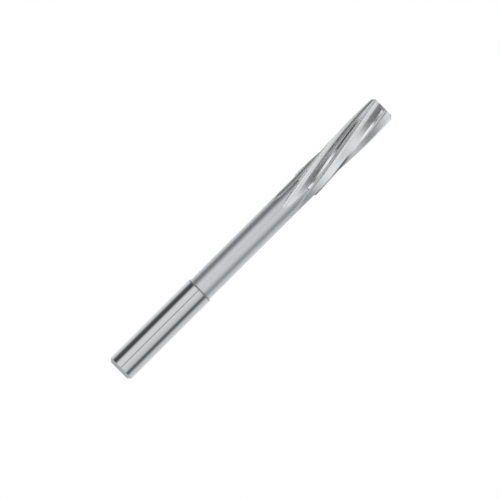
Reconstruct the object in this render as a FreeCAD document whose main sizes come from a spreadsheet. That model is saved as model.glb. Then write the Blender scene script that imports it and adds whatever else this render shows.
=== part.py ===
import FreeCAD, Part
import math
import os

import Sketcher

# A machine reamer with a plain shank and left-hand helical flutes, ground from one bar.
# The origin is the centre of the shank's end face, and +Z runs along the axis to the tip.
# Lengths are millimetres and angles are degrees.

# Driving dimensions: name, value, meaning

SIZES = [
    ("overall_length", 151.0, "shank end face to tip"),
    ("shank_diameter", 12.0, "ground shank, held in the chuck"),
    ("shank_length", 46.0, "shank end face to the step at the neck"),
    ("shank_chamfer", 1.3, "45 degree chamfer on the shank's end"),
    ("neck_diameter", 10.9, "relieved neck between shank and head"),
    ("shank_step_length", 0.4, "cone from shank to neck, along the axis"),
    ("head_diameter", 12.0, "over the cutting edges, the size that is reamed"),
    ("head_length", 44.5, "fluted head, shoulder to tip"),
    ("shoulder_length", 0.7, "cone from neck to head, along the axis"),
    ("lead_chamfer", 1.3, "45 degree cutting lead at the tip"),
    ("flute_count", 6.0, "flutes round the head"),
    ("helix_angle", 10.0, "left-hand helix at the head's diameter"),
    ("core_diameter", 8.4, "solid core inside the flutes"),
    ("flute_radius", 2.05, "radius in the bottom of a flute"),
    ("margin_width", 0.17, "round land behind the cutting edge"),
    ("relief_width", 0.9, "relieved land behind the margin"),
    ("relief_angle", 20.0, "fall of the relieved land away from the round one"),
    ("wheel_radius", 68.0, "grinding wheel whose rim shapes the run-out"),
    ("neck_clearance", 0.1, "how far the wheel has lifted off the neck at the end of the run-out"),
    ("lead_relief_angle", 9.0, "fall of the lead behind its cutting edge"),
    ("centre_pilot_diameter", 1.6, "pilot of the centre hole in each end"),
    ("centre_mouth_diameter", 3.35, "mouth of its 60 degree cone"),
    ("centre_depth", 3.6, "end face to the end of the pilot"),
    ("overrun", 1.5, "how far a cutter runs past the metal"),
]
SIZE = {name: value for name, value, meaning in SIZES}

# The flute's sections: how many span the head, and how many the run-out behind it
HEAD_SECTIONS = 9
RUNOUT_SECTIONS = 6


def add_sheet(doc):
    """The spreadsheet that every sketch and feature takes its sizes from."""
    sheet = doc.addObject("Spreadsheet::Sheet", "Sizes")
    for row, (name, value, meaning) in enumerate(SIZES, start=1):
        sheet.set(f"A{row}", name)
        sheet.set(f"B{row}", str(value))
        sheet.set(f"C{row}", meaning)
        sheet.setAlias(f"B{row}", name)
    doc.recompute()
    return sheet


def origin_feature(body, role):
    """One of the body's own planes or axes, such as XZ_Plane."""
    return next(f for f in body.Origin.OriginFeatures if f.Role == role)


def add_sketch(body, name, plane):
    sketch = body.newObject("Sketcher::SketchObject", name)
    sketch.AttachmentSupport = [(origin_feature(body, plane), "")]
    sketch.MapMode = "FlatFace"
    return sketch


def bind(sketch, constraint, name, expression):
    """Adds a dimension, names it and ties it to the sheet."""
    index = sketch.addConstraint(constraint)
    sketch.renameConstraint(index, name)
    sketch.setExpression(f"Constraints.{name}", expression)


def closed_outline(sketch, corners):
    """A closed outline of lines. Each corner is (name, radius, height), two expressions or None for 0.

    The rough first outline only has the corners in order; the constraints pull it to size.
    """
    count = len(corners)
    rough = [
        FreeCAD.Vector(0.0 if radius is None else 5.0, 10.0 * number, 0.0)
        for number, (name, radius, height) in enumerate(corners)
    ]
    for number in range(count):
        sketch.addGeometry(Part.LineSegment(rough[number], rough[(number + 1) % count]), False)
    for number in range(count):
        following = (number + 1) % count
        sketch.addConstraint(Sketcher.Constraint("Coincident", number, 2, following, 1))
    for number, (name, radius, height) in enumerate(corners):
        if radius is None:
            sketch.addConstraint(Sketcher.Constraint("PointOnObject", number, 1, -2))
        else:
            reach = Sketcher.Constraint("DistanceX", -1, 1, number, 1, rough[number].x)
            bind(sketch, reach, f"{name}_radius", radius)
        if height is None:
            sketch.addConstraint(Sketcher.Constraint("PointOnObject", number, 1, -1))
        else:
            rise = Sketcher.Constraint("DistanceY", -1, 1, number, 1, 10.0 * max(number, 1))
            bind(sketch, rise, f"{name}_height", height)


def revolve(body, sketch, kind, name):
    """A full turn of the sketch about its own upright axis, added or taken away."""
    feature = body.newObject(kind, name)
    feature.Profile = sketch
    feature.ReferenceAxis = (sketch, ["V_Axis"])
    feature.Angle = 360.0
    return feature


def add_blank(body):
    """The turned and ground bar: chamfered shank, neck, and head with its cutting lead."""
    sketch = add_sketch(body, "BlankProfile", "XZ_Plane")
    shank = "Sizes.shank_diameter / 2"
    neck = "Sizes.neck_diameter / 2"
    head = "Sizes.head_diameter / 2"
    shoulder = "Sizes.overall_length - Sizes.head_length"
    closed_outline(
        sketch,
        [
            ("shank_centre", None, None),
            ("shank_face", f"{shank} - Sizes.shank_chamfer", None),
            ("shank_foot", shank, "Sizes.shank_chamfer"),
            ("shank_top", shank, "Sizes.shank_length"),
            ("neck_foot", neck, "Sizes.shank_length + Sizes.shank_step_length"),
            ("neck_top", neck, f"{shoulder} - Sizes.shoulder_length"),
            ("head_foot", head, shoulder),
            ("head_top", head, "Sizes.overall_length - Sizes.lead_chamfer"),
            ("tip_edge", f"{head} - Sizes.lead_chamfer", "Sizes.overall_length"),
            ("tip_centre", None, "Sizes.overall_length"),
        ],
    )
    return revolve(body, sketch, "PartDesign::Revolution", "Blank")


def add_centre_hole(body, name, face, inwards):
    """A centre hole for the grinding centres.

    face is the end face's height, None for 0, and inwards is what a depth is added to.
    """
    sketch = add_sketch(body, f"{name}Profile", "XZ_Plane")
    pilot = "Sizes.centre_pilot_diameter / 2"
    mouth = "Sizes.centre_mouth_diameter / 2"
    cone_depth = f"({mouth} - {pilot}) / tan(30)"
    point_depth = f"Sizes.centre_depth + {pilot} * tan(30)"
    closed_outline(
        sketch,
        [
            ("mouth_centre", None, face),
            ("mouth", mouth, face),
            ("cone_end", pilot, f"{inwards}({cone_depth})"),
            ("pilot_end", pilot, f"{inwards}Sizes.centre_depth"),
            ("drill_point", None, f"{inwards}({point_depth})"),
        ],
    )
    return revolve(body, sketch, "PartDesign::Groove", name)


def flute_section_geometry():
    """The lines and arcs of a flute's section, near enough for the sketch to settle from.

    The rake face lies along the sketch's X axis, and the cutting edge is where it meets the head.
    The relieved land goes on past the margin's corner into the open, so that it cuts the head cleanly.
    """
    head = SIZE["head_diameter"] / 2
    radius = SIZE["flute_radius"]
    reach = SIZE["core_diameter"] / 2 + radius
    centre = FreeCAD.Vector(math.sqrt(reach**2 - radius**2), radius, 0)
    outside = head + SIZE["overrun"]

    def polar(length, angle):
        return FreeCAD.Vector(length * math.cos(angle), length * math.sin(angle), 0)

    corner_angle = 2 * math.pi / SIZE["flute_count"] - SIZE["margin_width"] / head
    corner = polar(head, corner_angle)
    rise = corner_angle + math.pi / 2 - math.radians(SIZE["relief_angle"])
    heel = corner - polar(SIZE["relief_width"], rise)
    relief_end = corner + polar(SIZE["margin_width"] / 2, rise)
    outer_angle = math.atan2(relief_end.y, relief_end.x)
    to_heel = heel - centre
    back_angle = math.atan2(to_heel.y, to_heel.x) + math.acos(radius / to_heel.Length)
    back_foot = centre + polar(radius, back_angle)
    axis = FreeCAD.Vector(0, 0, 1)
    return [
        Part.LineSegment(polar(outside, 0), FreeCAD.Vector(centre.x, 0, 0)),
        Part.ArcOfCircle(Part.Circle(centre, axis, radius), back_angle, 1.5 * math.pi),
        Part.LineSegment(back_foot, heel),
        Part.LineSegment(heel, relief_end),
        Part.LineSegment(relief_end, polar(outside, outer_angle)),
        Part.ArcOfCircle(Part.Circle(FreeCAD.Vector(), axis, outside), 0, outer_angle),
        Part.LineSegment(FreeCAD.Vector(), corner),
    ]


def add_flute_section(body, name, below_tip, lift):
    """One section of the space that the grinding wheel sweeps for a flute.

    Its height and turn follow the left-hand helix, and lift draws it out along the rake face.
    """
    sketch = add_sketch(body, name, "XY_Plane")
    turn = f"({below_tip}) * tan(Sizes.helix_angle) * 360 / (pi * Sizes.head_diameter)"
    z_axis = FreeCAD.Vector(0, 0, 1)
    sketch.AttachmentOffset = FreeCAD.Placement(z_axis, FreeCAD.Rotation(z_axis, 1.0))
    sketch.setExpression("AttachmentOffset.Base.x", f"({lift}) * cos({turn})")
    sketch.setExpression("AttachmentOffset.Base.y", f"({lift}) * sin({turn})")
    sketch.setExpression("AttachmentOffset.Base.z", f"Sizes.overall_length - ({below_tip})")
    sketch.setExpression("AttachmentOffset.Rotation.Angle", turn)

    rake, bottom, back, relief, side, outer, to_corner = range(7)
    origin, x_axis = (-1, 1), -1
    for number, piece in enumerate(flute_section_geometry()):
        sketch.addGeometry(piece, number == to_corner)
    make = Sketcher.Constraint
    sketch.addConstraint(make("Coincident", rake, 1, outer, 1))
    sketch.addConstraint(make("Tangent", rake, 2, bottom, 2))
    sketch.addConstraint(make("Tangent", bottom, 1, back, 1))
    sketch.addConstraint(make("Coincident", back, 2, relief, 1))
    sketch.addConstraint(make("Coincident", relief, 2, side, 1))
    sketch.addConstraint(make("Coincident", side, 2, outer, 2))
    sketch.addConstraint(make("Coincident", outer, 3, *origin))
    sketch.addConstraint(make("Coincident", to_corner, 1, *origin))
    sketch.addConstraint(make("PointOnObject", rake, 1, x_axis))
    sketch.addConstraint(make("PointOnObject", rake, 2, x_axis))
    sketch.addConstraint(make("PointOnObject", to_corner, 2, relief))
    sketch.addConstraint(make("PointOnObject", *origin, side))

    head = "Sizes.head_diameter / 2"
    core = "Sizes.core_diameter / 2"
    margin_turn = f"Sizes.margin_width / ({head}) * 180 / pi"
    corner_angle = f"360 / Sizes.flute_count - {margin_turn}"
    dimensions = [
        ("outside", make("Radius", outer, 6.0), f"{head} + Sizes.overrun"),
        ("bottom_radius", make("Radius", bottom, 1.0), "Sizes.flute_radius"),
        ("bottom_reach", make("Distance", *origin, bottom, 3, 4.0), f"{core} + Sizes.flute_radius"),
        ("corner_reach", make("Distance", to_corner, 5.0), head),
        ("corner_angle", make("Angle", to_corner, 1.0), corner_angle),
        ("relief_width", make("Distance", to_corner, 2, relief, 1, 1.0), "Sizes.relief_width"),
        ("relief_past", make("Distance", to_corner, 2, relief, 2, 0.2), "Sizes.margin_width / 2"),
        ("relief_angle", make("Angle", relief, 2.4), f"{corner_angle} + 90 - Sizes.relief_angle"),
    ]
    for name, constraint, expression in dimensions:
        bind(sketch, constraint, name, expression)
    return sketch


def add_flute(body):
    """The space of one flute: along the head, then out through the neck on the wheel's own arc."""
    sections = []
    for number in range(HEAD_SECTIONS + 1):
        share = f"{number} / {HEAD_SECTIONS}"
        below_tip = f"{share} * (Sizes.head_length + Sizes.overrun) - Sizes.overrun"
        sections.append(add_flute_section(body, f"HeadSection{number:02d}", below_tip, "0"))
    rise = "((Sizes.neck_diameter - Sizes.core_diameter) / 2 + Sizes.neck_clearance)"
    wheel = "Sizes.wheel_radius"
    length = f"sqrt({wheel} ^ 2 - ({wheel} - {rise}) ^ 2)"
    for number in range(1, RUNOUT_SECTIONS + 1):
        past = f"{number} / {RUNOUT_SECTIONS} * {length}"
        below_tip = f"Sizes.head_length + {past}"
        lift = f"{wheel} - sqrt({wheel} ^ 2 - ({past}) ^ 2)"
        sections.append(add_flute_section(body, f"RunoutSection{number:02d}", below_tip, lift))
    flute = body.newObject("PartDesign::SubtractiveLoft", "Flute")
    flute.Profile = sections[0]
    flute.Sections = sections[1:]
    flute.Refine = False
    return flute


def add_lead_relief(body):
    """The facet that backs off one tooth's 45 degree lead behind its cutting edge."""
    sketch = add_sketch(body, "LeadReliefProfile", "XY_Plane")
    y_axis = FreeCAD.Vector(0, 1, 0)
    sketch.AttachmentOffset = FreeCAD.Placement(y_axis, FreeCAD.Rotation(y_axis, -45.0))
    middle = "Sizes.lead_chamfer / 2"
    sketch.setExpression("AttachmentOffset.Base.x", f"Sizes.head_diameter / 2 - {middle}")
    sketch.setExpression("AttachmentOffset.Base.z", f"Sizes.overall_length - {middle}")

    edge = FreeCAD.Vector(0, 0, 0)
    behind = FreeCAD.Vector(-0.4, -2.6, 0)
    behind_outside = FreeCAD.Vector(1.5, -2.6, 0)
    edge_outside = FreeCAD.Vector(1.5, 0, 0)
    corners = [edge, behind, behind_outside, edge_outside]
    make = Sketcher.Constraint
    for number in range(4):
        sketch.addGeometry(Part.LineSegment(corners[number], corners[(number + 1) % 4]), False)
    for number in range(4):
        sketch.addConstraint(make("Coincident", number, 2, (number + 1) % 4, 1))
    facet, back, outer, front = range(4)
    sketch.addConstraint(make("Coincident", facet, 1, -1, 1))
    sketch.addConstraint(make("Horizontal", back))
    sketch.addConstraint(make("Vertical", outer))
    sketch.addConstraint(make("Horizontal", front))
    bind(sketch, make("DistanceY", back, 1, -1, 1, 2.6), "length", "Sizes.head_diameter / 4")
    bind(sketch, make("DistanceX", -1, 1, outer, 1, 1.5), "outside", "Sizes.overrun")
    bind(sketch, make("Angle", facet, -1.7), "fall", "-90 - Sizes.lead_relief_angle")
    pocket = body.newObject("PartDesign::Pocket", "LeadRelief")
    pocket.Profile = sketch
    pocket.SideType = "Symmetric"
    pocket.setExpression("Length", "2 * Sizes.lead_chamfer")
    pocket.Refine = False
    return pocket


def repeat_round_axis(body, cuts):
    """The same cuts at every tooth."""
    pattern = body.newObject("PartDesign::PolarPattern", "Teeth")
    pattern.Originals = cuts
    pattern.Axis = (origin_feature(body, "Z_Axis"), [""])
    pattern.Angle = 360.0
    pattern.setExpression("Occurrences", "Sizes.flute_count")
    return pattern


def make_cut(doc, body, feature):
    """Makes the cut the body's tip and recomputes; a cut that takes nothing away is an error."""
    before = body.Shape.Volume
    body.Tip = feature
    doc.recompute()
    after = body.Shape.Volume
    print(f"{feature.Name}: {before:.1f} -> {after:.1f} mm3")
    if after >= before:
        raise RuntimeError(f"{feature.Name} takes nothing away")


def build_reamer(doc):
    body = doc.addObject("PartDesign::Body", "Reamer")
    body.Label = "reamer"
    body.Placement = FreeCAD.Placement()
    body.Tip = add_blank(body)
    doc.recompute()
    flute = add_flute(body)
    make_cut(doc, body, flute)
    lead_relief = add_lead_relief(body)
    make_cut(doc, body, lead_relief)
    make_cut(doc, body, repeat_round_axis(body, [flute, lead_relief]))
    make_cut(doc, body, add_centre_hole(body, "ShankCentre", None, ""))
    tip = "Sizes.overall_length"
    make_cut(doc, body, add_centre_hole(body, "TipCentre", tip, f"{tip} - "))
    return body


def check(doc, bodies):
    """Stops the build if anything in the model is in error or a body's solid isn't sound."""
    for item in doc.Objects:
        if "Invalid" in item.State or "Error" in item.State:
            raise RuntimeError(f"{item.Name} is {item.State}")
    for body in bodies:
        if body.Shape.isNull() or not body.Shape.isValid():
            raise RuntimeError(f"{body.Label} isn't a valid shape")
        if len(body.Shape.Solids) != 1:
            raise RuntimeError(f"{body.Label} isn't one solid")


doc = FreeCAD.newDocument("MachineReamer")
add_sheet(doc)
reamer = build_reamer(doc)
check(doc, [reamer])
os.makedirs("parts", exist_ok=True)
reamer.Shape.exportStep("parts/reamer.step")
print("box", reamer.Shape.BoundBox)
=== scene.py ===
# %% [markdown]
# # A machine reamer
#
# A machine reamer brings a drilled hole to its exact size. It is one piece of hardened steel: a plain
# shank for the chuck, a thinner neck, and a head with six helical flutes behind a 45 degree lead.
# This lesson builds it in Blender around the solid that the CAD step made. That solid stays where it
# is and is only hidden, so the sizes here are the same ones, in millimetres until a mesh is made.

import math

import bpy
from mathutils import Matrix, Vector


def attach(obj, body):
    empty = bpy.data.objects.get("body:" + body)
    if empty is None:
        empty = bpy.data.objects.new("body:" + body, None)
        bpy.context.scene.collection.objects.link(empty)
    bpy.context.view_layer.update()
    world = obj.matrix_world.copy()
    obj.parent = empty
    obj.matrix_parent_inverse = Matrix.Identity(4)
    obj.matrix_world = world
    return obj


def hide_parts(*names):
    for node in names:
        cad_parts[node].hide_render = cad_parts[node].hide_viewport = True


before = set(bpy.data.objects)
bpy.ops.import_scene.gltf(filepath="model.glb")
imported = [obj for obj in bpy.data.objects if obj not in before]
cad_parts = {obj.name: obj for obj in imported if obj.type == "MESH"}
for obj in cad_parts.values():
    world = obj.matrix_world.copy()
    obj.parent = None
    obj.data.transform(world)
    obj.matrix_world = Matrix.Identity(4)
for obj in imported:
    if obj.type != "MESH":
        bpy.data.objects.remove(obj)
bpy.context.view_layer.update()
MILLIMETRE = 0.001

# %% [markdown]
# ## The bar before any flute is ground
#
# The blank is turned and ground between centres, so every part of it is round. Half of its outline,
# from the bottom of one centre hole to the bottom of the other, holds the whole shape, and a lathe
# tool or a Screw modifier could spin it. The flutes come later and need many close rings, so the
# outline is kept here as a list of corners, and each stretch gets rings as close as it needs.

# %% Sizes of the bar
OVERALL_LENGTH = 151.0
SHANK_RADIUS = 6.0
SHANK_LENGTH = 46.0
SHANK_CHAMFER = 1.3
SHANK_STEP = 0.4
# A narrow band at the end of the shank, before the step, takes the darker turned finish as painted shade,
# a dark line at the step.
PAINTED_SHADE_BAND = 0.45
NECK_RADIUS = 5.45
HEAD_RADIUS = 6.0
HEAD_LENGTH = 44.5
SHOULDER_LENGTH = 0.7
LEAD = 1.3
CENTRE_PILOT_RADIUS = 0.8
CENTRE_MOUTH_RADIUS = 1.675
CENTRE_DEPTH = 3.6
CONE_SLOPE = math.tan(math.radians(30))
CENTRE_CONE = (CENTRE_MOUTH_RADIUS - CENTRE_PILOT_RADIUS) / CONE_SLOPE
CENTRE_POINT = CENTRE_DEPTH + CENTRE_PILOT_RADIUS * CONE_SLOPE
SHOULDER = OVERALL_LENGTH - HEAD_LENGTH
LEAD_START = OVERALL_LENGTH - LEAD
print(f"shank, neck and head are {SHANK_LENGTH}, {SHOULDER - SHANK_LENGTH} and {HEAD_LENGTH} mm long")

# %% [markdown]
# ## One flute, cut across
#
# A dished grinding wheel leaves a radial cutting face, a round bottom, a back that rises to the heel,
# and a narrow slope behind the thin round margin that guides the tool in the hole. The section is
# drawn once, with its cutting edge on the X axis, from that edge to the margin of the next tooth.
# Each point of it becomes one column of the mesh, so every corner of the tooth is a clean line.

# %% The flute's section
FLUTES = 6
PITCH = 2 * math.pi / FLUTES
CORE_RADIUS = 4.2
FLUTE_RADIUS = 2.05
MARGIN_WIDTH = 0.17
RELIEF_WIDTH = 0.9
RELIEF_ANGLE = math.radians(20)
BOTTOM_STEPS = 26
BACK_STEPS = 6
RELIEF_STEPS = 6
LAND_STEPS = 12


def polar(radius, angle):
    """A point of the section at that radius and angle."""
    return Vector((radius * math.cos(angle), radius * math.sin(angle)))


def steps(start, end, count):
    """The points or numbers from start to end in equal steps, without start."""
    return [start + (end - start) * (step / count) for step in range(1, count + 1)]


def flute_section():
    """The points of one flute from its cutting edge to the next tooth's margin."""
    corner_angle = PITCH - MARGIN_WIDTH / HEAD_RADIUS
    corner = polar(HEAD_RADIUS, corner_angle)
    heel = corner - polar(RELIEF_WIDTH, corner_angle + math.pi / 2 - RELIEF_ANGLE)
    reach = CORE_RADIUS + FLUTE_RADIUS
    centre = Vector((math.sqrt(reach**2 - FLUTE_RADIUS**2), FLUTE_RADIUS))
    to_heel = heel - centre
    back_angle = math.atan2(to_heel.y, to_heel.x) + math.acos(FLUTE_RADIUS / to_heel.length)
    bottom_angles = steps(1.5 * math.pi, back_angle, BOTTOM_STEPS)
    points = [Vector((HEAD_RADIUS, 0.0)), Vector((centre.x, 0.0))]
    points += [centre + polar(FLUTE_RADIUS, angle) for angle in bottom_angles]
    points += steps(points[-1], heel, BACK_STEPS)
    points += steps(heel, corner, RELIEF_STEPS)
    return points


section = flute_section()
LAST_CUT = len(section) - 1
HEEL = LAST_CUT - RELIEF_STEPS
PITCH_COLUMNS = LAST_CUT + LAND_STEPS
print(f"the section has {len(section)} points, and one pitch has {PITCH_COLUMNS} columns")

# %% [markdown]
# ## Where the wheel enters and leaves the steel
#
# The flute turns about the axis at the helix angle. Behind the head the wheel lifts out along its own
# round edge and leaves a long tongue in the neck, the tool's most telling curve. On each ring of the
# bar the section is lifted by that much, and only the part of it below the steel's surface counts.
# A Boolean could find that part, but it leaves a ragged mesh that polished steel shows at once, so
# both crossings are worked out on each ring.

# %% Lift and turn of the flute
HELIX_ANGLE = math.radians(10)
WHEEL_RADIUS = 68.0
NECK_CLEARANCE = 0.1
LEAD_RELIEF = math.sqrt(2) * math.tan(math.radians(9))
LEAST_SLOPE = 0.5
TOP_LIFT = NECK_RADIUS - CORE_RADIUS + NECK_CLEARANCE
FLUTE_END = SHOULDER - math.sqrt(WHEEL_RADIUS**2 - (WHEEL_RADIUS - TOP_LIFT) ** 2)


def lift_at(height):
    """How far the wheel has risen from the flute's full depth at that height."""
    behind = min(max(SHOULDER - height, 0), SHOULDER - FLUTE_END)
    return WHEEL_RADIUS - math.sqrt(WHEEL_RADIUS**2 - behind**2)


def turn_at(height):
    """The angle that the flute has turned by at that height, counted from the tip."""
    below_tip = OVERALL_LENGTH - max(height, FLUTE_END)
    return below_tip * math.tan(HELIX_ANGLE) / HEAD_RADIUS


def surface_radius(angle, radius, height):
    """The uncut surface behind the next tooth's edge, with the relief ground on the lead."""
    behind = angle - PITCH + turn_at(height)
    ground = HEAD_RADIUS + LEAD_START - height
    slope = math.cos(behind) - LEAD_RELIEF * math.sin(behind)
    return min(radius, ground / max(slope, LEAST_SLOPE))


print(f"the flutes end {SHOULDER - FLUTE_END:.1f} mm behind the head")


# %% Where the section leaves the steel
def crossing(lifted, deepest, stride, radius, height):
    """(column, angle, radius) where the section leaves the steel, going from its deepest column."""

    def depth(point):
        angle = math.atan2(point.y, point.x)
        limit = surface_radius(angle, radius, height) if stride > 0 else radius
        return limit - point.length

    last = len(lifted) - 1 if stride > 0 else 0
    column = deepest
    while column != last and depth(lifted[column + stride]) > 0:
        column += stride
    point = lifted[column]
    share = 0.0
    if column != last:
        inside, outside = depth(point), depth(lifted[column + stride])
        share = max(inside, 0) / (max(inside, 0) - outside) if outside < 0 else 1.0
        point = point.lerp(lifted[column + stride], share)
    return column + stride * share, math.atan2(point.y, point.x), point.length


def cut_on_ring(radius, height):
    """Where the flute's section starts and ends on that ring of the bar."""
    lift = Vector((lift_at(height), 0))
    lifted = [point + lift for point in section]
    deepest = min(range(len(lifted)), key=lambda column: lifted[column].length)
    if height < FLUTE_END or lifted[deepest].length >= radius:
        angle = math.atan2(lifted[deepest].y, lifted[deepest].x)
        uncut = (deepest + 0.5, angle, radius)
        return uncut, uncut
    start = crossing(lifted, deepest, -1, radius, height)
    return start, crossing(lifted, deepest, 1, radius, height)


mid_cut = cut_on_ring(HEAD_RADIUS, (SHOULDER + LEAD_START) / 2)
print("halfway along the head the cut runs from column", mid_cut[0][0], "to", mid_cut[1][0])

# %% [markdown]
# ## Rings along the bar
#
# A plain cylinder needs few rings, a helical flute many. Each row below is a corner of the outline
# and the distance between the rings that lead to it. The tongues of the flutes and the lead get the
# closest rings. Past the tongues the columns drift apart again over a few millimetres, until they
# stand evenly round the neck and the shank.

# %% The rings
SPREAD_LENGTH = 3.0
FINE_LENGTH = 0.2
OUTLINE = [
    (0.0, CENTRE_POINT, 1.0),
    (CENTRE_PILOT_RADIUS, CENTRE_DEPTH, 1.0),
    (CENTRE_PILOT_RADIUS, CENTRE_CONE, 2.0),
    (CENTRE_MOUTH_RADIUS, 0.0, 1.0),
    (SHANK_RADIUS - SHANK_CHAMFER, 0.0, 1.5),
    (SHANK_RADIUS, SHANK_CHAMFER, 0.4),
    # A ring where the painted shade before the step begins.
    (SHANK_RADIUS, SHANK_LENGTH - PAINTED_SHADE_BAND, 4.0),
    (SHANK_RADIUS, SHANK_LENGTH, 0.2),
    (NECK_RADIUS, SHANK_LENGTH + SHANK_STEP, 0.2),
    (NECK_RADIUS, FLUTE_END - SPREAD_LENGTH, 4.0),
    (NECK_RADIUS, FLUTE_END, 0.3),
    (NECK_RADIUS, SHOULDER - SHOULDER_LENGTH, 0.2),
    (HEAD_RADIUS, SHOULDER, 0.15),
    (HEAD_RADIUS, LEAD_START - FINE_LENGTH, 0.35),
    (HEAD_RADIUS, LEAD_START, 0.05),
    (HEAD_RADIUS - LEAD, OVERALL_LENGTH, 0.12),
    (CORE_RADIUS, OVERALL_LENGTH, 0.08),
    (CENTRE_MOUTH_RADIUS, OVERALL_LENGTH, 3.0),
    (CENTRE_PILOT_RADIUS, OVERALL_LENGTH - CENTRE_CONE, 1.0),
    (CENTRE_PILOT_RADIUS, OVERALL_LENGTH - CENTRE_DEPTH, 2.0),
    (0.0, OVERALL_LENGTH - CENTRE_POINT, 1.0),
]


def outline_rings():
    """(radius, height) of every ring, from one centre hole to the other."""
    rings = [Vector(OUTLINE[0][:2])]
    for radius, height, spacing in OUTLINE[1:]:
        corner = Vector((radius, height))
        count = math.ceil((corner - rings[-1]).length / spacing)
        rings += steps(rings[-1], corner, count)
    return rings


def evenness(radius, height):
    """0 where the columns follow the flutes, and 1 where they stand evenly round the bar."""
    if radius < CORE_RADIUS:
        return 1.0
    share = min(max((FLUTE_END - height) / SPREAD_LENGTH, 0), 1)
    return share * share * (3 - 2 * share)


rings = outline_rings()
print(f"{len(rings)} rings of {FLUTES * PITCH_COLUMNS} columns")

# %% [markdown]
# ## Two small helper meshes
#
# Geometry Nodes can read what a mesh carries. One helper mesh holds the rings as points, each with
# the lift and the crossings found for it. The other holds the points of the section. Neither is part
# of the object, and both go once the body is made.


# %% Points for the node tree
def point_mesh(name, points):
    """A mesh of loose points."""
    mesh = bpy.data.meshes.new(name)
    mesh.from_pydata([tuple(point) for point in points], [], [])
    return mesh


def add_attribute(mesh, name, kind, field, values):
    """Gives each point of the mesh its own value."""
    attribute = mesh.attributes.new(name, kind, "POINT")
    attribute.data.foreach_set(field, values)


section_mesh = point_mesh("flute_section", [(p.x * MILLIMETRE, p.y * MILLIMETRE, 0) for p in section])
ring_mesh = point_mesh("bar_rings", [(r.x * MILLIMETRE, 0, r.y * MILLIMETRE) for r in rings])
cuts = [cut_on_ring(radius, height) for radius, height in rings]
starts = [value for start, end in cuts for value in (start[0], start[1], start[2] * MILLIMETRE)]
ends = [value for start, end in cuts for value in (end[0], end[1], end[2] * MILLIMETRE)]
add_attribute(ring_mesh, "cut_start", "FLOAT_VECTOR", "vector", starts)
add_attribute(ring_mesh, "cut_end", "FLOAT_VECTOR", "vector", ends)
add_attribute(ring_mesh, "lift", "FLOAT", "value", [lift_at(h) * MILLIMETRE for r, h in rings])
add_attribute(ring_mesh, "even", "FLOAT", "value", [evenness(r, h) for r, h in rings])
print("the first tongue ends at", round(min(h for (r, h), c in zip(rings, cuts) if c[0] != c[1]), 2), "mm")

# %% [markdown]
# ## Node trees written as sums
#
# A node tree with dozens of Math nodes is hard to read when each node and link takes its own lines.
# A socket that is wrapped in a small class can be added and multiplied like a number, and every sign
# in the expression adds its Math node. All other nodes come from one method. The same two classes
# serve the body's tree, the steel and the studio.


# %% The wrapper for sockets
class Wire:
    """A node's output that can be used in sums."""

    def __init__(self, graph, socket):
        self.graph = graph
        self.socket = socket

    def math(self, operation, *values):
        """A Math node on these values."""
        return self.graph.node("ShaderNodeMath", {"operation": operation}, dict(enumerate(values)))

    def __add__(self, other):
        return self.math("ADD", self, other)

    def __radd__(self, other):
        return self.math("ADD", other, self)

    def __sub__(self, other):
        return self.math("SUBTRACT", self, other)

    def __rsub__(self, other):
        return self.math("SUBTRACT", other, self)

    def __mul__(self, other):
        return self.math("MULTIPLY", self, other)

    def __truediv__(self, other):
        return self.math("DIVIDE", self, other)

    def __rtruediv__(self, other):
        return self.math("DIVIDE", other, self)

    def __lt__(self, other):
        return self.math("LESS_THAN", self, other)

    def __gt__(self, other):
        return self.math("GREATER_THAN", self, other)


print("sockets can now be added, subtracted, multiplied, divided and compared")


# %% The tree that nodes are added to
class Graph:
    """A node tree that nodes are added to."""

    def __init__(self, tree):
        self.tree = tree
        tree.nodes.clear()

    def node(self, kind, settings=None, sockets=None, output=0):
        """Adds a node, sets it up, fills or links its sockets, and returns one output."""
        made = self.tree.nodes.new(kind)
        for name, value in (settings or {}).items():
            setattr(made, name, value)
        for key, value in (sockets or {}).items():
            if isinstance(value, Wire):
                self.tree.links.new(value.socket, made.inputs[key])
            else:
                made.inputs[key].default_value = value
        return Wire(self, made.outputs[output]) if len(made.outputs) else made

    def mix(self, factor, low, high):
        """low where the factor is 0 and high where it is 1."""
        return self.node("ShaderNodeMix", {"data_type": "FLOAT"}, {0: factor, 2: low, 3: high})


print("one method adds every other node")

# %% [markdown]
# ## The body's tree: which ring, which tooth, which column
#
# The tree starts from a plain grid with one row of points for each ring and one column for each
# point round the bar. A grid numbers its points row by row, so a division of the point's number
# gives its ring, and another one its tooth and its place on that tooth. The last column lies on the
# first, and both are merged later.

# %% The tree and its inputs
body_tree = bpy.data.node_groups.new("Fluted bar", "GeometryNodeTree")
body = Graph(body_tree)
INPUTS = [
    ("Geometry", "NodeSocketGeometry"),
    ("Section", "NodeSocketObject"),
    ("Flutes", "NodeSocketInt"),
    ("Heel Column", "NodeSocketInt"),
    ("Last Cut Column", "NodeSocketInt"),
    ("Pitch Columns", "NodeSocketInt"),
    ("Helix Angle", "NodeSocketFloat"),
    ("Head Radius", "NodeSocketFloat"),
    ("Tip Height", "NodeSocketFloat"),
    ("Flute End Height", "NodeSocketFloat"),
    ("Lead Start Height", "NodeSocketFloat"),
    ("Lead Relief", "NodeSocketFloat"),
    ("Shank Length", "NodeSocketFloat"),
    ("Shank Step", "NodeSocketFloat"),
    ("Painted Shade Band", "NodeSocketFloat"),
    ("Neck End Height", "NodeSocketFloat"),
    ("Chamfer", "NodeSocketFloat"),
    ("Centre Hole Radius", "NodeSocketFloat"),
    ("Merge Distance", "NodeSocketFloat"),
    ("Sharp Angle", "NodeSocketFloat"),
    ("Shank Finish", "NodeSocketMaterial"),
    ("Neck Finish", "NodeSocketMaterial"),
    ("Land Finish", "NodeSocketMaterial"),
    ("Flute Finish", "NodeSocketMaterial"),
    ("Relief Finish", "NodeSocketMaterial"),
    ("Turned Finish", "NodeSocketMaterial"),
]
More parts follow.
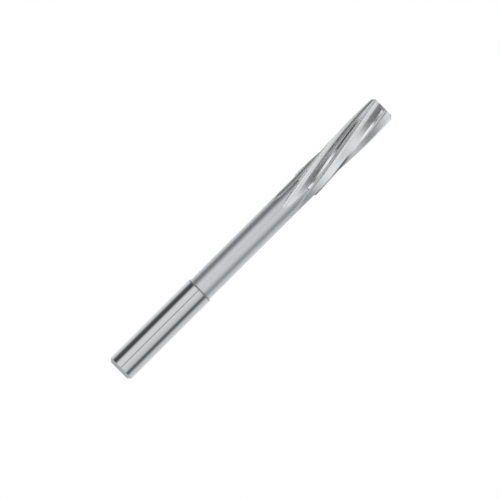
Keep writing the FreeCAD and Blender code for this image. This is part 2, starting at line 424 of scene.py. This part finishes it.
for name, kind in INPUTS:
    body_tree.interface.new_socket(name, in_out="INPUT", socket_type=kind)
body_tree.interface.new_socket("Geometry", in_out="OUTPUT", socket_type="NodeSocketGeometry")


def given(name):
    """One of the tree's named inputs."""
    return body.node("NodeGroupInput", output=name)


print(f"the tree has {len(INPUTS)} inputs")

# %% Ring, tooth and column of each point
pitch = 2 * math.pi / given("Flutes")
columns = given("Flutes") * given("Pitch Columns") + 1
ring_total = body.node("GeometryNodeAttributeDomainSize", {}, {0: given("Geometry")}, "Point Count")
grid = body.node("GeometryNodeMeshGrid", {}, {"Vertices X": ring_total, "Vertices Y": columns})
number = body.node("GeometryNodeInputIndex")
ring = columns.math("FLOOR", number / columns)
place = number - ring * columns
tooth = place.math("FLOOR", place / given("Pitch Columns"))
column = place - tooth * given("Pitch Columns")


def sampled(geometry, kind, value, index):
    """The value that the geometry's point of that number carries."""
    settings = {"data_type": kind, "domain": "POINT"}
    return body.node("GeometryNodeSampleIndex", settings, {0: geometry, 1: value, 2: index})


def carried(kind, name):
    """An attribute of the ring that a point belongs to."""
    value = body.node("GeometryNodeInputNamedAttribute", {"data_type": kind}, {"Name": name})
    return sampled(given("Geometry"), kind, value, ring)


def parts(vector):
    """A vector's three numbers."""
    separate = body.node("ShaderNodeSeparateXYZ", {}, {0: vector}).socket.node
    return [Wire(body, output) for output in separate.outputs]


print("each point knows its ring, tooth and column")

# %% [markdown]
# ## The body's tree: from the section to the surface
#
# A column before the crossing stays on it, one between the crossings sits on the lifted section, and
# the columns of the land spread from the second crossing to the next tooth. On the lead the land
# falls away behind its edge. Radius and angle are kept apart until the end, because the whole tool
# is laid out round its axis.

# %% Radius and angle on the untwisted tooth
position = body.node("GeometryNodeInputPosition")
ring_radius, unused, height = parts(sampled(given("Geometry"), "FLOAT_VECTOR", position, ring))
start_column, start_angle, start_radius = parts(carried("FLOAT_VECTOR", "cut_start"))
end_column, end_angle, end_radius = parts(carried("FLOAT_VECTOR", "cut_end"))
section_shape = body.node("GeometryNodeObjectInfo", {}, {0: given("Section")}, "Geometry")
section_index = column.math("MINIMUM", column, given("Last Cut Column"))
across, rise, unused = parts(sampled(section_shape, "FLOAT_VECTOR", position, section_index))
lifted_across = across + carried("FLOAT", "lift")
section_radius = height.math("SQRT", lifted_across * lifted_across + rise * rise)
section_angle = height.math("ARCTAN2", rise, lifted_across)
before = column < start_column
after = column > end_column
cut_radius = body.mix(after, body.mix(before, section_radius, start_radius), end_radius)
cut_angle = body.mix(after, body.mix(before, section_angle, start_angle), end_angle)
print(f"the tree has {len(body_tree.nodes)} nodes so far")

# %% The land behind the next edge
on_land = column > given("Last Cut Column")
land_columns = given("Pitch Columns") - given("Last Cut Column")
land_share = (column - given("Last Cut Column")) / land_columns
land_angle = end_angle + (pitch + start_angle - end_angle) * land_share
twist_height = height.math("MAXIMUM", height, given("Flute End Height"))
twist_rate = height.math("TANGENT", given("Helix Angle")) / given("Head Radius")
turned = (given("Tip Height") - twist_height) * twist_rate
behind_edge = land_angle - pitch + turned
relief_slope = behind_edge.math("COSINE", behind_edge)
relief_slope = relief_slope - given("Lead Relief") * behind_edge.math("SINE", behind_edge)
relief_slope = relief_slope.math("MAXIMUM", relief_slope, LEAST_SLOPE)
relief_radius = (given("Head Radius") + given("Lead Start Height") - height) / relief_slope
land_radius = height.math("MINIMUM", ring_radius, relief_radius)
print(f"the land added up to {len(body_tree.nodes)} nodes")

# %% The point in space
even = carried("FLOAT", "even")
even_angle = start_angle + pitch * column / given("Pitch Columns")
angle = body.mix(even, body.mix(on_land, cut_angle, land_angle), even_angle)
radius = body.mix(even, body.mix(on_land, cut_radius, land_radius), ring_radius)
full_angle = angle + tooth * pitch + turned
spots = {0: radius * angle.math("COSINE", full_angle), 1: radius * angle.math("SINE", full_angle)}
spot = body.node("ShaderNodeCombineXYZ", {}, {**spots, 2: height})
shaped = body.node("GeometryNodeSetPosition", {}, {"Geometry": grid, "Position": spot})
print(f"the point's place added up to {len(body_tree.nodes)} nodes")

# %% [markdown]
# ## The body's tree: clean mesh, crisp edges and finishes
#
# Columns that meet at a crossing are merged, and so are the poles in the centre holes. The grid's
# rows run up the bar and its columns round it, so its faces come out looking inwards and are
# flipped. They are shaded smooth, but an edge that bends by more than a few degrees stays sharp, as
# a ground edge is. Each zone then gets its finish: polished shank, satin neck, ground flutes, a
# finer ground slope behind each margin, ground lands, and turned surfaces at both ends and on the
# step to the neck. The dark turned finish also runs a short band onto the shank before the step,
# where it is painted shade: a dark line at the step.

# %% A clean mesh with marked flutes
COLUMN_TOLERANCE = 0.01
in_cut = (column > start_column - COLUMN_TOLERANCE) * (column < end_column + COLUMN_TOLERANCE)
in_cut = in_cut * (end_column - start_column > 1) * (1 - on_land)
in_cut = in_cut * (1 + (column > given("Heel Column")))
marked = body.node(
    "GeometryNodeStoreNamedAttribute",
    {"data_type": "FLOAT", "domain": "POINT"},
    {"Geometry": shaped, "Name": "in_cut", "Value": in_cut},
)
merged = body.node(
    "GeometryNodeMergeByDistance", {}, {"Geometry": marked, "Distance": given("Merge Distance")}
)
outward = body.node("GeometryNodeFlipFaces", {}, {"Mesh": merged})
all_smooth = body.node("GeometryNodeSetShadeSmooth", {"domain": "FACE"}, {"Geometry": outward})
edge_angle = body.node("GeometryNodeInputMeshEdgeAngle", output="Unsigned Angle")
crisp = body.node(
    "GeometryNodeSetShadeSmooth",
    {"domain": "EDGE"},
    {"Geometry": all_smooth, "Selection": edge_angle > given("Sharp Angle"), "Shade Smooth": False},
)
realized = body.node("GeometryNodeRealizeInstances", {}, {"Geometry": crisp})
print("a point is marked 1 in a flute, 2 on its relief and 0 elsewhere")

# %% Finishes zone by zone
HEIGHT_TOLERANCE = 0.00001
FLUTE_MARK = 0.4
RELIEF_MARK = 1.4
TURNED_MARK = 0.5
across_x, across_y, face_height = parts(position)
face_radius = face_height.math("SQRT", across_x * across_x + across_y * across_y)
cut_mark = body.node("GeometryNodeInputNamedAttribute", {"data_type": "FLOAT"}, {"Name": "in_cut"})
shank_end = (face_height < given("Chamfer")) + (face_radius < given("Centre Hole Radius"))
# The step to the neck is turned, a real finish. The band of the shank just before it takes the same dark
# finish as painted shade at the step.
step_and_painted_shade = (face_height > given("Shank Length") - given("Painted Shade Band")) * (
    face_height < given("Shank Length") + given("Shank Step")
)
turned_zone = shank_end + step_and_painted_shade + (face_height > given("Tip Height") - HEIGHT_TOLERANCE)
ZONES = [
    ("Land Finish", face_height > given("Neck End Height")),
    ("Neck Finish", face_height < given("Neck End Height")),
    ("Shank Finish", face_height < given("Shank Length")),
    ("Flute Finish", cut_mark > FLUTE_MARK),
    ("Relief Finish", cut_mark > RELIEF_MARK),
    ("Turned Finish", turned_zone > TURNED_MARK),
]
finished = realized
for finish, zone in ZONES:
    zone_sockets = {"Geometry": finished, "Selection": zone, "Material": given(finish)}
    finished = body.node("GeometryNodeSetMaterial", {}, zone_sockets)
body.node("NodeGroupOutput", {}, {0: finished})
print(f"the tree has {len(body_tree.nodes)} nodes")

# %% [markdown]
# ## Steel finishes
#
# All of the tool is one steel, and only the way it was ground changes its look. Bare steel is a metal
# shader in a light grey that mirrors the studio, and the marks of the wheel are fine lines in the
# bump. On the round parts the work turned under the wheel, so the lines run round the axis: a noise
# pattern squeezed along the axis gives just that. In the flutes the wheel ran along the helix, so
# the same noise is first turned back by the twist and then squeezed across it. Both read Object
# coordinates, because the piece has no seams for an image to hide.

# %% Patterns of fine lines
STRETCH = 120.0
SHADE_SPREAD = 0.1
SHADE_OF_LINES = 0.24
SHADE_OF_CLOUDS = 0.2
ROUGHNESS_OF_LINES = 0.08
NOISE_MIDDLE = 0.5
NOISE_ROUGHNESS = 0.6
LINE_DETAIL = 4.0
CLOUD_DETAIL = 2.0


def noise_at(graph, place, detail):
    """A soft noise between 0 and 1 at that place."""
    noise = {"Vector": place, "Scale": 1.0, "Detail": detail, "Roughness": NOISE_ROUGHNESS}
    return graph.node("ShaderNodeTexNoise", {"noise_dimensions": "3D"}, noise)


def lines_round_axis(graph, lines_per_metre, detail):
    """Lines round the axis, as the work leaves them when it turns under the wheel."""
    place = graph.node("ShaderNodeTexCoord", output="Object")
    scale = {"Vector": place, "Scale": (STRETCH, STRETCH, lines_per_metre)}
    return noise_at(graph, graph.node("ShaderNodeMapping", {}, scale), detail)


def lines_along_flute(graph, lines_per_metre, detail):
    """Lines that follow the helix, as the wheel leaves them in a flute."""
    place = graph.node("ShaderNodeTexCoord", output="Object")
    separate = graph.node("ShaderNodeSeparateXYZ", {}, {0: place}).socket.node
    x, y, z = [Wire(graph, output) for output in separate.outputs]
    distance = x.math("SQRT", x * x + y * y)
    untwisted = x.math("ARCTAN2", y, x) + z * (math.tan(HELIX_ANGLE) / (HEAD_RADIUS * MILLIMETRE))
    across = distance * lines_per_metre
    cosine = x.math("COSINE", untwisted)
    sine = x.math("SINE", untwisted)
    spot = {0: across * cosine, 1: across * sine, 2: z * STRETCH}
    return noise_at(graph, graph.node("ShaderNodeCombineXYZ", {}, spot), detail)


print("lines run round the axis or along a flute")

# %% [markdown]
# ## One maker for all finishes
#
# A finish is told apart by its grey, its roughness, and the run, closeness and depth of its lines. The
# lines also shade the steel a little and change how rough it is, because a scratch holds its own
# light. A wide, weak cloud keeps a long surface from looking drawn with a ruler.

# %% A ground finish
COOL = (0.97, 0.98, 1.0)


def ground_steel(name, grey, roughness, lines, lines_per_metre, depth, tint=COOL):
    """A ground steel finish. depth is that of its lines, in millimetres."""
    # A Mix node takes its two colours at inputs 6 and 7 and gives their blend at output 2.
    material = bpy.data.materials.new(name)
    material.use_nodes = True
    graph = Graph(material.node_tree)
    marks = lines(graph, lines_per_metre, LINE_DETAIL) - NOISE_MIDDLE
    clouds = lines(graph, STRETCH, CLOUD_DETAIL) - NOISE_MIDDLE
    shade = marks * SHADE_OF_LINES + clouds * SHADE_OF_CLOUDS + NOISE_MIDDLE
    dark = tuple((grey - SHADE_SPREAD) * channel for channel in tint) + (1,)
    light = tuple((grey + SHADE_SPREAD) * channel for channel in tint) + (1,)
    colour = graph.node("ShaderNodeMix", {"data_type": "RGBA"}, {0: shade, 6: dark, 7: light}, 2)
    bump = graph.node("ShaderNodeBump", {}, {"Distance": depth * MILLIMETRE, "Height": marks})
    steel = {
        "Base Color": colour,
        "Metallic": 1.0,
        "Roughness": marks * ROUGHNESS_OF_LINES + roughness,
        "Normal": bump,
    }
    shader = graph.node("ShaderNodeBsdfPrincipled", {}, steel)
    graph.node("ShaderNodeOutputMaterial", {}, {"Surface": shader})
    return material


print("a finish's grey varies by up to", SHADE_SPREAD * SHADE_OF_LINES, "with its lines")

# %% The six finishes
BLUISH = (0.945, 0.955, 1.0)
polished_shank = ground_steel("polished shank", 0.64, 0.1, lines_round_axis, 9000.0, 0.0001)
satin_neck = ground_steel("satin neck", 0.72, 0.42, lines_round_axis, 5000.0, 0.0012, BLUISH)
ground_land = ground_steel("ground land", 0.55, 0.3, lines_along_flute, 6000.0, 0.001)
ground_flute = ground_steel("ground flute", 0.9, 0.38, lines_along_flute, 3000.0, 0.0025)
ground_relief = ground_steel("ground relief", 0.88, 0.12, lines_along_flute, 5000.0, 0.0006)
# The turned finish is real at both ends and on the step. On the band of the shank before the step its dark
# grey is painted shade.
turned_end = ground_steel("turned end", 0.42, 0.3, lines_round_axis, 5000.0, 0.002)
print("finishes:", [material.name for material in bpy.data.materials])

# %% [markdown]
# ## Making the body
#
# The modifier reads its inputs by identifier, and they are set before Blender first evaluates it.
# The evaluated result becomes a plain mesh, and the helpers go. The new mesh then rides on the CAD
# body and stands for its solid.

# %% The modifier and its inputs
MERGE_DISTANCE = 0.000005
SHARP_ANGLE = math.radians(12)
helper = bpy.data.objects.new("bar_rings", ring_mesh)
section_helper = bpy.data.objects.new("flute_section", section_mesh)
for item in (helper, section_helper):
    bpy.context.scene.collection.objects.link(item)
modifier = helper.modifiers.new("Fluted bar", "NODES")
modifier.node_group = body_tree
VALUES = {
    "Section": section_helper,
    "Flutes": FLUTES,
    "Heel Column": HEEL,
    "Last Cut Column": LAST_CUT,
    "Pitch Columns": PITCH_COLUMNS,
    "Helix Angle": HELIX_ANGLE,
    "Head Radius": HEAD_RADIUS * MILLIMETRE,
    "Tip Height": OVERALL_LENGTH * MILLIMETRE,
    "Flute End Height": FLUTE_END * MILLIMETRE,
    "Lead Start Height": LEAD_START * MILLIMETRE,
    "Lead Relief": LEAD_RELIEF,
    "Shank Length": SHANK_LENGTH * MILLIMETRE,
    "Shank Step": SHANK_STEP * MILLIMETRE,
    "Painted Shade Band": PAINTED_SHADE_BAND * MILLIMETRE,
    "Neck End Height": (SHOULDER - SHOULDER_LENGTH) * MILLIMETRE,
    "Chamfer": SHANK_CHAMFER * MILLIMETRE,
    "Centre Hole Radius": CENTRE_MOUTH_RADIUS * MILLIMETRE,
    "Merge Distance": MERGE_DISTANCE,
    "Sharp Angle": SHARP_ANGLE,
    "Shank Finish": polished_shank,
    "Neck Finish": satin_neck,
    "Land Finish": ground_land,
    "Flute Finish": ground_flute,
    "Relief Finish": ground_relief,
    "Turned Finish": turned_end,
}
sockets = [item for item in body_tree.interface.items_tree if item.in_out == "INPUT"]
identifiers = {item.name: item.identifier for item in sockets}
for name, value in VALUES.items():
    modifier[identifiers[name]] = value
print(f"{len(VALUES)} of the tree's inputs are set")

# %% Run the tree
evaluated = helper.evaluated_get(bpy.context.evaluated_depsgraph_get())
reamer_mesh = bpy.data.meshes.new_from_object(evaluated)
reamer = bpy.data.objects.new("fluted_reamer", reamer_mesh)
bpy.context.scene.collection.objects.link(reamer)
for item in (helper, section_helper):
    bpy.data.objects.remove(item)
reamer_mesh.calc_loop_triangles()
print(f"the body has {len(reamer_mesh.loop_triangles)} triangles")

# %% The body stands for the CAD solid
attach(reamer, "root")
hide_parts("reamer")
print("the body's box in metres:", [round(size, 5) for size in reamer.dimensions])

# %% [markdown]
# ## The studio
#
# Polished steel shows the room more than itself. The photograph looks as if it was taken in a white
# tent, with dark strips beside the camera that draw the long grey bands down the shank. The world is
# plain white for all that the camera and the steel see, and a little lower as a light on other
# surfaces. The dark strips are a curtain of cards round the object with soft edges, which only
# reflections can see. It also lies on the table up to the tool, so that the bands run on where the
# steel mirrors the table. A curved tooth mirrors far more of the room than a plain shank, so the
# curtain has its own strips level with the head, and they change from the shoulder to the tip. Where
# the strips hang and how dark they are is a guess, found by trial renders beside the photograph.

# %% The white room
PLAIN_LEVEL = 0.8
world = bpy.data.worlds.new("White tent")
world.use_nodes = True
bpy.context.scene.world = world
sky = Graph(world.node_tree)
seen = [sky.node("ShaderNodeLightPath", output=ray) for ray in ("Is Camera Ray", "Is Glossy Ray")]
seen.append(sky.node("ShaderNodeLightPath", output="Is Transmission Ray"))
seen_by_eye = seen[0].math("MINIMUM", seen[0] + seen[1] + seen[2], 1.0)
level = sky.mix(seen_by_eye, PLAIN_LEVEL, 1.0)
background = sky.node("ShaderNodeBackground", {}, {"Color": (1, 1, 1, 1), "Strength": level})
sky.node("ShaderNodeOutputWorld", {}, {"Surface": background})
print("the room lights other surfaces at", PLAIN_LEVEL)

# %% The curtain's measures
VIEW_AZIMUTH = 19.2
CARD_DISTANCE = 0.1
CARD_BOTTOM = 0.0005
CARD_JOIN = 0.1
HEAD_LOW = 0.118
HEAD_HIGH = 0.14
CARD_TOP = 0.3
CARD_FOOT = 0.008
LID_COVER = 0.5
LID_SIDES = 24
print("the curtain hangs", CARD_DISTANCE, "m from the tool and reaches up to", CARD_TOP, "m")

# %% The curtain's strips level with the shank and the neck: azimuth and cover
CARD_COVER = [
    (-180, 0.0),
    (-118, 0.0),
    (-106, 0.4),
    (-98, 0.68),
    (-90, 0.87),
    (-68, 0.92),
    (-60, 0.8),
    (-53, 0.4),
    (-46, 0.08),
    (-40, 0.0),
    (-9, 0.0),
    (-7, 0.6),
    (-2, 0.6),
    (0, 0.0),
    (8, 0.0),
    (24, 0.1),
    (40, 0.2),
    (47, 0.34),
    (54, 0.64),
    (60, 0.84),
    (72, 0.82),
    (82, 0.52),
    (92, 0.2),
    (125, 0.08),
    (180, 0.0),
]
print(f"{len(CARD_COVER)} edges of strips behind the shank and the neck")

# %% The curtain's strips level with the head: azimuth and cover near the shoulder
SHOULDER_COVER = [
    (-180, 0.55),
    (-116, 0.55),
    (-104, 0.9),
    (-56, 0.9),
    (-40, 0.0),
    (-30, 0.0),
    (-12, 0.4),
    (-4, 0.8),
    (0, 0.8),
    (8, 0.0),
    (46, 0.05),
    (63, 0.85),
    (76, 0.85),
    (94, 0.45),
    (104, 0.45),
    (120, 0.85),
    (160, 0.5),
    (180, 0.55),
]
print(f"{len(SHOULDER_COVER)} edges of strips near the shoulder")

# %% The curtain's strips level with the head: azimuth and cover near the tip
TIP_COVER = [
    (-180, 0.15),
    (-140, 0.15),
    (-104, 0.25),
    (-90, 0.9),
    (-62, 0.9),
    (-48, 0.8),
    (-24, 0.0),
    (-17, 0.0),
    (-11, 0.4),
    (0, 0.75),
    (8, 0.0),
    (26, 0.0),
    (50, 0.65),
    (66, 0.9),
    (78, 0.85),
    (96, 0.0),
    (110, 0.2),
    (180, 0.15),
]
print(f"{len(TIP_COVER)} edges of strips near the tip")


# %% Black cloth
def card_material(name):
    """Black cloth that lets the white room through where it is thin."""
    material = bpy.data.materials.new(name)
    material.use_nodes = True
    graph = Graph(material.node_tree)
    cover = graph.node("ShaderNodeAttribute", {"attribute_name": "cover"}, output="Fac")
    cloth = graph.node("ShaderNodeEmission", {}, {"Color": (0, 0, 0, 1), "Strength": 0.0})
    clear = graph.node("ShaderNodeBsdfTransparent")
    blend = graph.node("ShaderNodeMixShader", {}, {0: cover, 1: clear, 2: cloth})
    graph.node("ShaderNodeOutputMaterial", {}, {"Surface": blend})
    return material


card_cloth = card_material("black card cloth")
print("cloth:", card_cloth.name)


# %% The curtain and its lid
def reflected_only(name, points, faces, cover):
    """A stage piece with that cover at each point, which only reflections can see."""
    mesh = bpy.data.meshes.new(name)
    mesh.from_pydata(points, [], faces)
    add_attribute(mesh, "cover", "FLOAT", "value", cover)
    mesh.materials.append(card_cloth)
    card = bpy.data.objects.new(name, mesh)
    bpy.context.scene.collection.objects.link(card)
    card.visible_camera = False
    card.visible_diffuse = False
    card.visible_shadow = False
    card.visible_transmission = False
    return card


def cover_at(azimuth, stops):
    """How much the strips cover at that azimuth, between the two stops beside it."""
    for (low, low_cover), (high, high_cover) in zip(stops, stops[1:]):
        if azimuth <= high:
            return low_cover + (high_cover - low_cover) * (azimuth - low) / (high - low)


def ring_of_cards(name, corners, levels):
    """A curtain round the tool, dark or clear by azimuth, counted from the camera to its right."""
    points = []
    cover = []
    for azimuth in sorted({stop[0] for stops in levels for stop in stops}):
        around = math.radians(VIEW_AZIMUTH + azimuth - 90)
        for distance, height, level in corners:
            points.append((distance * math.cos(around), distance * math.sin(around), height))
            cover.append(cover_at(azimuth, levels[level]))
    faces = []
    rows = len(corners)
    for strip in range(0, len(points) - rows, rows):
        starts = range(strip, strip + rows - 1)
        faces += [(start, start + 1, start + rows + 1, start + rows) for start in starts]
    return reflected_only(name, points, faces, cover)


def lid_card():
    """A grey lid above the tool."""
    corners = [polar(CARD_DISTANCE, angle) for angle in steps(0, 2 * math.pi, LID_SIDES)]
    points = [(corner.x, corner.y, CARD_TOP) for corner in corners]
    return reflected_only("lid_card", points, [tuple(range(LID_SIDES))], [LID_COVER] * LID_SIDES)


low_corners = [(CARD_FOOT, CARD_BOTTOM, 0), (CARD_DISTANCE, CARD_BOTTOM, 0), (CARD_DISTANCE, CARD_JOIN, 0)]
high_heights = [(CARD_JOIN, 0), (HEAD_LOW, 0), (HEAD_HIGH, 1), (CARD_TOP, 1)]
high_corners = [(CARD_DISTANCE, height, level) for height, level in high_heights]
cards = [
    ring_of_cards("low_card_ring", low_corners, [CARD_COVER]),
    ring_of_cards("high_card_ring", high_corners, [SHOULDER_COVER, TIP_COVER]),
    lid_card(),
]
print("cards:", [card.name for card in cards])

# %% [markdown]
# ## Floor and lamp
#
# The reamer stands on its shank's end on a pale table. The photograph's camera looks level with the
# table, so only the other views see it. One large soft lamp adds a gentle shadow there.

# %% The table
FLOOR_SIZE = 4.0
FLOOR_DROP = 0.0001
FLOOR_GREY = 0.9
FLOOR_ROUGHNESS = 0.9
WHITE_IN_PICTURE = 0.5
WHITE_IN_MIRRORS = 0.85
half = FLOOR_SIZE / 2
floor_mesh = bpy.data.meshes.new("floor")
floor_corners = [(-half, -half), (half, -half), (half, half), (-half, half)]
floor_mesh.from_pydata([(x, y, -FLOOR_DROP) for x, y in floor_corners], [], [(0, 1, 2, 3)])
floor = bpy.data.objects.new("floor", floor_mesh)
bpy.context.scene.collection.objects.link(floor)
pale_floor = bpy.data.materials.new("pale table")
pale_floor.use_nodes = True
table = Graph(pale_floor.node_tree)
matt_sockets = {"Base Color": (FLOOR_GREY, FLOOR_GREY, FLOOR_GREY, 1), "Roughness": FLOOR_ROUGHNESS}
matt = table.node("ShaderNodeBsdfPrincipled", {}, matt_sockets)
bright = table.node("ShaderNodeEmission", {}, {"Color": (1, 1, 1, 1), "Strength": 1.0})
in_picture = table.node("ShaderNodeLightPath", output="Is Camera Ray")
in_steel = table.node("ShaderNodeLightPath", output="Is Glossy Ray")
in_glass = table.node("ShaderNodeLightPath", output="Is Transmission Ray")
whiteness = in_picture * WHITE_IN_PICTURE + in_steel * WHITE_IN_MIRRORS + in_glass * WHITE_IN_MIRRORS
table_top = table.node("ShaderNodeMixShader", {}, {0: whiteness, 1: matt, 2: bright})
table.node("ShaderNodeOutputMaterial", {}, {"Surface": table_top})
pale_floor.cycles.emission_sampling = "NONE"
floor_mesh.materials.append(pale_floor)
print("the table is", FLOOR_SIZE, "m wide")

# %% The lamp
LAMP_SIZE = 0.8
LAMP_POWER = 4.0
LAMP_PLACE = (-0.6, -0.5, 1.2)
lamp_data = bpy.data.lights.new("soft lamp", "AREA")
lamp_data.size = LAMP_SIZE
lamp_data.energy = LAMP_POWER
lamp = bpy.data.objects.new("soft lamp", lamp_data)
bpy.context.scene.collection.objects.link(lamp)
lamp.location = LAMP_PLACE
lamp.rotation_euler = Vector(LAMP_PLACE).to_track_quat("Z", "Y").to_euler()
lamp.visible_glossy = False
print("the lamp gives", LAMP_POWER, "W")

# %% [markdown]
# ## The camera
#
# The photograph looks straight at the side of the tool, from so far off that nothing gets smaller
# with distance, and the tool lies across the picture with its tip at the upper right. A camera
# without perspective that is rolled by the same angle shows the standing tool just so.

# %% The camera
PICTURE_SIDE = 500
LENGTH_IN_PICTURE = 373.0
PICTURE_CENTRE_RIGHT = 1.2
PICTURE_CENTRE_UP = 11.25
VIEW_ROLL = math.radians(44.86)
CAMERA_DISTANCE = 0.5
pixel = OVERALL_LENGTH * MILLIMETRE / LENGTH_IN_PICTURE
view_turn = math.radians(VIEW_AZIMUTH)
axis = Vector((0, 0, 1))
side = Vector((math.cos(view_turn), math.sin(view_turn), 0))
back = Vector((math.sin(view_turn), -math.cos(view_turn), 0))
picture_right = axis * math.cos(VIEW_ROLL) + side * math.sin(VIEW_ROLL)
picture_up = axis * math.sin(VIEW_ROLL) - side * math.cos(VIEW_ROLL)
camera_data = bpy.data.cameras.new("camera")
camera_data.type = "ORTHO"
camera_data.ortho_scale = pixel * PICTURE_SIDE
camera = bpy.data.objects.new("camera", camera_data)
bpy.context.scene.collection.objects.link(camera)
bpy.context.scene.camera = camera
middle = Vector((0, 0, OVERALL_LENGTH * MILLIMETRE / 2))
offset = picture_right * PICTURE_CENTRE_RIGHT + picture_up * PICTURE_CENTRE_UP
camera.location = middle + back * CAMERA_DISTANCE - offset * pixel
camera.rotation_euler = Matrix((picture_right, picture_up, back)).transposed().to_euler()
print(f"one pixel is {pixel / MILLIMETRE:.3f} mm")

# %% [markdown]
# ## Last settings
#
# The Standard view shows colours as they are written.

# %% The view transform
bpy.context.scene.view_settings.view_transform = "Standard"
